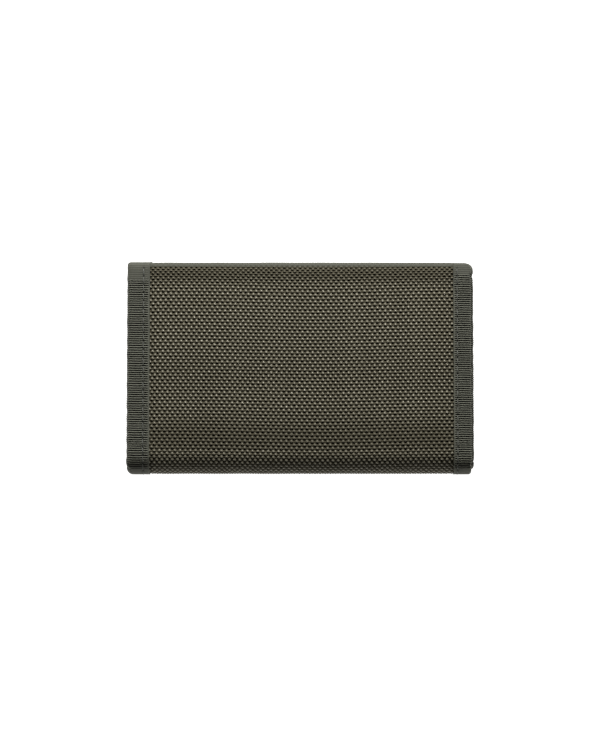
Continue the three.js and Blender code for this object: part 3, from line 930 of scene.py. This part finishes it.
def edging(name, side, mouth, level, under, node):
    """A ribbed tape folded over the mouth of a pocket, with its ribs across it."""
    leg = np.linspace(0, EDGING_WIDTH, 16)
    turn = np.linspace(0, math.pi, 9)[1:-1]
    run_back = np.concatenate([leg[::-1], -EDGING_RADIUS * np.sin(turn), leg])
    height = np.concatenate([0 * leg + 1, np.cos(turn), 0 * leg - 1]) * EDGING_RADIUS
    girth = np.concatenate([[0], np.cumsum(np.hypot(np.diff(run_back), np.diff(height)))])[:, None]
    run_back, height = run_back[:, None], height[:, None]
    half = TAPE_EDGE + 0.6 * MM
    x = np.linspace(-half, half, int(2 * half / RIB_PITCH) * RIB_STEPS + 1)[None, :]
    seed = 70 + int(mouth / MM)
    drift = waves(x, seed, 0.3, 6 * MM, 25 * MM) + waves(girth, seed + 1, 0.08, 2 * MM, 6 * MM)
    ribs = np.cos(2 * math.pi * (x / RIB_PITCH + drift))
    near_selvedge = np.minimum(girth, girth.max() - girth)
    ribbed = np.clip((near_selvedge - 0.4 * MM) / (0.4 * MM), 0, 1)
    sag = waves(x, seed + 2, 0.12 * MM, 12 * MM, 45 * MM)

    def surface(offset):
        squeeze = (EDGING_RADIUS + offset) / EDGING_RADIUS
        at_run = REACH[side] - mouth - run_back * np.where(run_back < 0, squeeze, 1) + sag
        return place(x, side * at_run, tucked(x, level, under) + height * squeeze)

    # painted shading of the ribs: 1 on the lit rib tops, 0 in the shaded furrows
    rib_shading = (0.5 + 0.5 * ribs) * ribbed + (1 - ribbed) * 0.62
    marks = {"rib": outer_face(rib_shading, PLAIN_RIB), "hole": np.zeros(2 * rib_shading.size)}
    outer = surface(0.05 * MM * ribs * ribbed)
    tape = shell_object(name, outer, surface(-EDGING_THICK), uv=two_faces(girth, x), marks=marks)
    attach(tape, BODY[side])
    dress(tape, TAPE, "binding_tape", node)


def card_pockets():
    """Three stepped card pockets on the front cover, each with a folded edging along its mouth."""
    side = -1
    below = "front_cover_lining"
    half = TAPE_EDGE + PANEL_UNDER_TAPE
    x = np.linspace(-half, half, 141)[None, :]
    for order, (label, (mouth, level)) in enumerate(POCKETS.items()):
        pocket = f"card_pocket_{label}"
        under = (3.0 + 0.06 * order) * MM
        edging_under = under + 0.1 * MM
        run = np.linspace(REACH[side] - POCKET_FOOT, REACH[side] - mouth - 0.3 * MM, 70)[:, None]
        from_foot = run - run.min()
        rise = ease(from_foot, 0.0, 5 * MM)
        flat = (3.1 + 0.2 * order) * MM
        card = 0.12 * MM * np.cos(math.pi * x / (2 * TAPE_EDGE)) * np.sin(math.pi * rise / 2)
        ripple = waves(x, 90 + order, 0.05 * MM, 8 * MM, 30 * MM) * ease(from_foot, 4 * MM, 12 * MM)
        depth = tucked(x, flat + (level - flat - 0.1 * MM) * rise + card * 0.3 + ripple * 0.5, under)
        stretched(pocket, side, x, run, depth, POCKET_THICK, POCKET_CLOTH, "pocket_cloth", below)
        below = f"{pocket}_cloth"
        edging(f"{pocket}_tape", side, mouth, level, edging_under, f"{pocket}_edging")
        line = REACH[side] - mouth - EDGING_WIDTH + 0.9 * MM
        seam(
            f"{pocket}_stitches", side, TAPE_EDGE - 0.8 * MM, line,
            lambda x, run: tucked(x, level, edging_under) + 0.36 * MM, "binding_tape",
        )
    foot = REACH[side] - POCKET_FOOT + FOOT_SEAM
    seam(
        "card_pocket_foot_stitches", side, TAPE_EDGE - 1 * MM, foot,
        lambda x, run: tucked(x, 3.78 * MM, 3.2 * MM), "pocket_cloth",
    )


def strip_base(label, side):
    """The woven base of a closure strip, with a thin selvedge."""
    x = np.linspace(-STRIP_HALF_LENGTH, STRIP_HALF_LENGTH, 141)[None, :]
    run = np.linspace(REACH[side] - STRIP_SPAN[1], REACH[side] - STRIP_SPAN[0], 41)[:, None]
    inset = np.minimum(STRIP_HALF_LENGTH - np.abs(x), np.minimum(run - run.min(), run.max() - run))
    depth = LINING_LEVEL + (STRIP_BASE - LINING_LEVEL) * ease(inset, -0.1 * MM, 0.6 * MM)
    panel(
        f"{label}_strip_base", side, x, run, depth, STRIP_THICK, STRIP_CLOTH, "closure_strip",
        f"{label}_strip",
    )


def bristles(name, side, path, radius, material, slot, *nodes):
    """Many thin filaments. path is their x, run and depth, each (count, points)."""
    centres = place(path[0], side * path[1], path[2])
    count, along = centres.shape[:2]
    ring = 4
    turn = np.linspace(0, 2 * math.pi, ring, endpoint=False)
    forward = np.gradient(centres, axis=1)
    forward /= np.linalg.norm(forward, axis=-1, keepdims=True) + 1e-12
    across = np.cross(forward, [0.31, 0.52, 0.79])
    across /= np.linalg.norm(across, axis=-1, keepdims=True)
    third = np.cross(forward, across)
    shape = (
        centres[:, :, None]
        + radius * np.cos(turn)[:, None] * across[:, :, None]
        + radius * np.sin(turn)[:, None] * third[:, :, None]
    )
    firsts = (np.arange(count) * ring * along)[:, None, None]
    faces = (np.array(tube_faces(ring, along))[None] + firsts).reshape(-1, 4).tolist()
    uv = np.broadcast_to(np.linspace(0, 1, along)[None, :, None, None], (count, along, ring, 2))
    thing = new_object(name, shape, outward(shape, faces), uv)
    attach(thing, BODY[side])
    dress(thing, material, slot, *nodes)


def hooks(side, low, high):
    """Rows of hooks. Every other row is shifted, and neighbouring hooks lean opposite ways."""
    places = np.arange(-HOOK_ROW_HALF, HOOK_ROW_HALF + 0.1, HOOK_STEP) * MM
    x, run = np.meshgrid(places, np.arange(low, high, HOOK_ROW_PITCH))
    x = (x + np.arange(x.shape[0])[:, None] % 2 * HOOK_ROW_SHIFT).reshape(-1, 1)
    lean = np.where(np.arange(x.size) % 2 == 0, 1, -1)[:, None]
    bow = np.linspace(0, 1, 8)
    hook_x = x + lean * HOOK_LEAN * np.sin(bow * 2.4) ** 2
    hook_depth = STRIP_BASE - 0.1 * MM + (STRIP_TOP - STRIP_BASE) * np.sin(bow * 2.5)
    path = (hook_x, run.reshape(-1, 1), hook_depth)
    bristles("hook_strip_hooks", side, path, HOOK_RADIUS, FILAMENT, "closure_strip")


def loops(side, low, high):
    """A pile of loops, scattered and turned every way."""
    draw = np.random.default_rng(5)
    x = draw.uniform(-33.3, 33.3, LOOP_COUNT)[:, None] * MM
    run = draw.uniform(low, high, LOOP_COUNT)[:, None]
    heading = draw.uniform(0, 2 * math.pi, LOOP_COUNT)[:, None]
    size = draw.uniform(0.35, 0.8, LOOP_COUNT)[:, None] * MM
    bow = np.linspace(0, math.pi, 7)
    height = draw.uniform(0.6, 1.0, LOOP_COUNT)[:, None] * (STRIP_TOP - STRIP_BASE) * np.sin(bow)
    loop_x = x + size * np.cos(bow) * np.cos(heading)
    loop_run = np.clip(run + size * np.cos(bow) * np.sin(heading), low - 0.3 * MM, high + 0.3 * MM)
    path = (loop_x, loop_run, STRIP_BASE - 0.08 * MM + height)
    bristles("loop_strip_pile", side, path, LOOP_RADIUS, FILAMENT, "closure_strip")


def closure_strips():
    """The hook strip on the front cover and the loop strip on the back cover."""
    spans = {}
    for side, label in ((-1, "hook"), (1, "loop")):
        low = REACH[side] - STRIP_SPAN[1] + STRIP_MARGIN
        high = REACH[side] - STRIP_SPAN[0] - STRIP_MARGIN
        spans[side] = (side, low, high)
        strip_base(label, side)
        for number, line in enumerate((low - STRIP_SEAM_OUT, high + STRIP_SEAM_OUT)):
            name = f"{label}_strip_stitches_{number}"
            seam(name, side, STRIP_SEAM_HALF, line, STRIP_BASE, "closure_strip")
    hooks(*spans[-1])
    loops(*spans[1])


def coil(label, side, direction):
    """One row of a nylon coil zip: a flattened helix with its heads towards the middle of the zip."""
    per_turn = 14
    turns = int(2 * ZIP_HALF_LENGTH / COIL_PITCH)
    angle = (np.arange(turns * per_turn + 1) / per_turn * 2 * math.pi)[None, :]
    shift = 0.5 * COIL_PITCH if direction > 0 else 0
    x = -ZIP_HALF_LENGTH + angle / (2 * math.pi) * COIL_PITCH + shift
    swing = np.sign(np.cos(angle)) * np.abs(np.cos(angle)) ** 0.8
    run = REACH[side] - ZIP_LINE + direction * (1.34 + 0.62 * swing) * MM
    depth = ZIP_LEVEL + 0.52 * MM * np.sin(angle)
    path = (x, run, depth)
    bristles(f"zip_coil_{label}", side, path, COIL_RADIUS, COIL, "zip_teeth", f"zip_teeth_{label}")


def coin_pocket():
    """The zipped coin pocket on the back cover: panel, facing, zip tapes and coil."""
    side = 1
    edge = REACH[side]
    zip_line = edge - ZIP_LINE
    below = "back_cover_lining"
    half = TAPE_EDGE + PANEL_UNDER_TAPE
    x = np.linspace(-half, half, 161)[None, :]
    for node, near, far in (("zip_tape_lower", 0.75, 6.2), ("zip_tape_upper", -0.75, -5.4)):
        run = np.sort(zip_line - np.linspace(near, far, 25) * MM)[:, None]
        herring = 0.03 * MM * np.cos(2 * math.pi * (x + np.abs(run - zip_line)) / (0.9 * MM))
        depth = tucked(x, ZIP_LEVEL + herring, 3.12 * MM)
        stretched(node, side, x, run, depth, ZIP_THICK, ZIP_CLOTH, "zip_tape", below)
    for label, direction in (("lower", -1), ("upper", 1)):
        coil(label, side, direction)
        line = zip_line + direction * COIL_SEAM
        name = f"zip_coil_{label}_stitches"
        seam(name, side, ZIP_HALF_LENGTH + 1 * MM, line, 4.72 * MM, "zip_tape")

    def pocket_cloth(node, run, level):
        depth = tucked(x, level, COIN_UNDER)
        stretched(node, side, x, run, depth, COIN_THICK, POCKET_CLOTH, "pocket_cloth", below)

    foot = edge - POCKET_FOOT
    run = np.linspace(foot, edge - COIN_MOUTH, 80)[:, None]
    from_foot = run - foot
    belly = 0.55 * MM * np.cos(math.pi * x / (2.1 * TAPE_EDGE))
    belly = belly * np.sin(math.pi * np.clip(from_foot / (44 * MM), 0, 1))
    ripple = waves(x, 31, 0.16 * MM, 7 * MM, 26 * MM) * np.exp(-from_foot / (9 * MM))
    near_tape = ease(np.abs(x), TAPE_EDGE - 14 * MM, TAPE_EDGE - 6 * MM)
    ripple = ripple + waves(run, 32, 0.13 * MM, 6 * MM, 22 * MM) * near_tape
    rolled = 0.25 * MM * ease(run, edge - COIN_MOUTH - 1.2 * MM, edge - COIN_MOUTH)
    level = 3.25 * MM + (COIN_DEPTH - 3.35 * MM) * ease(from_foot, 0, 7 * MM) + belly + ripple - rolled
    pocket_cloth("coin_pocket_panel", run, level)

    run = np.linspace(edge - FACING[1], edge - FACING[0], 16)[:, None]
    rolled = 0.25 * MM * ease(edge - run, 18.2 * MM, FACING[1])
    level = 3.2 * MM + (COIN_DEPTH - 3.3 * MM) * ease(edge - run, 16.5 * MM, 17.6 * MM) - rolled
    pocket_cloth("coin_pocket_facing", run, level)
    for label, line, level in (
        ("panel", edge - 28.1 * MM, COIN_DEPTH - 0.05 * MM),
        ("facing", edge - 18.2 * MM, COIN_DEPTH - 0.12 * MM),
        ("foot", foot + FOOT_SEAM, 3.5 * MM),
    ):
        seam(
            f"coin_pocket_{label}_stitches", side, TAPE_EDGE - 1 * MM, line,
            lambda x, run: tucked(x, level, 3.3 * MM), "pocket_cloth",
        )


def hardware(name):
    """Metal pieces keep their built shape, with softened edges and a metal surface."""
    thing = bpy.data.objects[name]
    bevel = thing.modifiers.new("edges", "BEVEL")
    bevel.width = 0.12 * MM
    bevel.segments = 2
    bevel.limit_method = "ANGLE"
    thing.data.materials.clear()
    thing.data.materials.append(METAL)


# ---- Camera, light and floor ----
LENS = 150.0
SENSOR = 36.0
SEEN_LENGTH = 277.2666 * MM  # what the picture's longer side spans at the height of SCALE_PLANE
SCALE_PLANE = 12 * MM
FLOOR_HALF = 3.0
FLOOR_GAP = 0.3 * MM


def camera(scene):
    """A long lens straight above the wallet."""
    data = bpy.data.cameras.new("camera")
    data.lens = LENS
    data.sensor_width = SENSOR
    data.clip_end = 20.0
    thing = bpy.data.objects.new("camera", data)
    thing.location = (0.0001, -0.0003, SCALE_PLANE + SEEN_LENGTH * LENS / SENSOR)
    scene.collection.objects.link(thing)
    scene.camera = thing


def key_light(scene):
    """A low, wide lamp beyond the free edge."""
    light = bpy.data.lights.new("key", "AREA")
    light.shape = "RECTANGLE"
    light.size = 0.33
    light.size_y = 0.077
    light.energy = 5.9
    thing = bpy.data.objects.new("key", light)
    thing.location = (0.0, 0.51, 0.24)
    aim = Vector((0, 0, 0.01)) - thing.location
    thing.rotation_euler = aim.to_track_quat("-Z", "Y").to_euler()
    thing.visible_camera = False
    scene.collection.objects.link(thing)


def pale_sky(scene):
    """White light from all round, strongest near the horizon."""
    world = bpy.data.worlds.new("studio")
    world.use_nodes = True
    nodes = world.node_tree.nodes
    links = world.node_tree.links
    direction = nodes.new("ShaderNodeTexCoord")
    height = nodes.new("ShaderNodeSeparateXYZ")
    ramp = nodes.new("ShaderNodeMapRange")
    ramp.interpolation_type = "SMOOTHSTEP"
    for name, value in (("From Min", 0.12), ("From Max", 0.45), ("To Min", 0.95), ("To Max", 0.10)):
        ramp.inputs[name].default_value = value
    links.new(direction.outputs["Generated"], height.inputs["Vector"])
    links.new(height.outputs["Z"], ramp.inputs["Value"])
    links.new(ramp.outputs[0], nodes["Background"].inputs["Strength"])
    nodes["Background"].inputs["Color"].default_value = rgba(1, 1, 1)
    scene.world = world


def pale_floor():
    """A wide, nearly white floor just under the wallet."""
    corners = [(-1, -1), (1, -1), (1, 1), (-1, 1)]
    points = [(FLOOR_HALF * x, FLOOR_HALF * y, -FLOOR_GAP) for x, y in corners]
    floor = new_object("floor", points, [(0, 1, 2, 3)])
    tree = Tree("floor")
    white = {"Emission_Color": rgba(1, 1, 1), "Emission_Strength": 0.96}
    floor.data.materials.append(tree.finish(rgba(0.9, 0.9, 0.9), 0.9, **white))


def studio():
    """The camera, the light and the floor."""
    scene = bpy.context.scene
    camera(scene)
    key_light(scene)
    pale_sky(scene)
    scene.view_settings.view_transform = "Standard"
    scene.view_settings.look = "None"
    pale_floor()


for side, cloth_steps in ((1, WEFT_STEPS), (-1, WEFT_STEPS_BELOW)):
    body = BODY[side]
    lining(side)
    cover_cloth(side, cloth_steps)
    binding(
        f"{body}_tape_left", -1, side, (0.0, STACK), built_nodes(side, "binding_left"),
        narrow=(NARROWER[-1], 0.0), inset=OUTER_STITCH_INSET[-1],
    )
    binding(
        f"{body}_shell_tape_right", 1, side, SHELL_TAPE, built_nodes(side, "shell_binding_right"),
        SHELL_TAPE_OUT, (NARROWER[1], NARROWER[1]), OUTER_STITCH_INSET[1],
    )
    binding(
        f"{body}_lining_tape_right", 1, side, LINING_TAPE, built_nodes(side, "lining_binding_right"),
        LINING_TAPE_OUT,
    )
    tape_stitches(side)

card_pockets()
closure_strips()
coin_pocket()
for name in ("zip_stop_left", "zip_stop_right", "zip_slider", "zip_pull"):
    hardware(name)
studio()
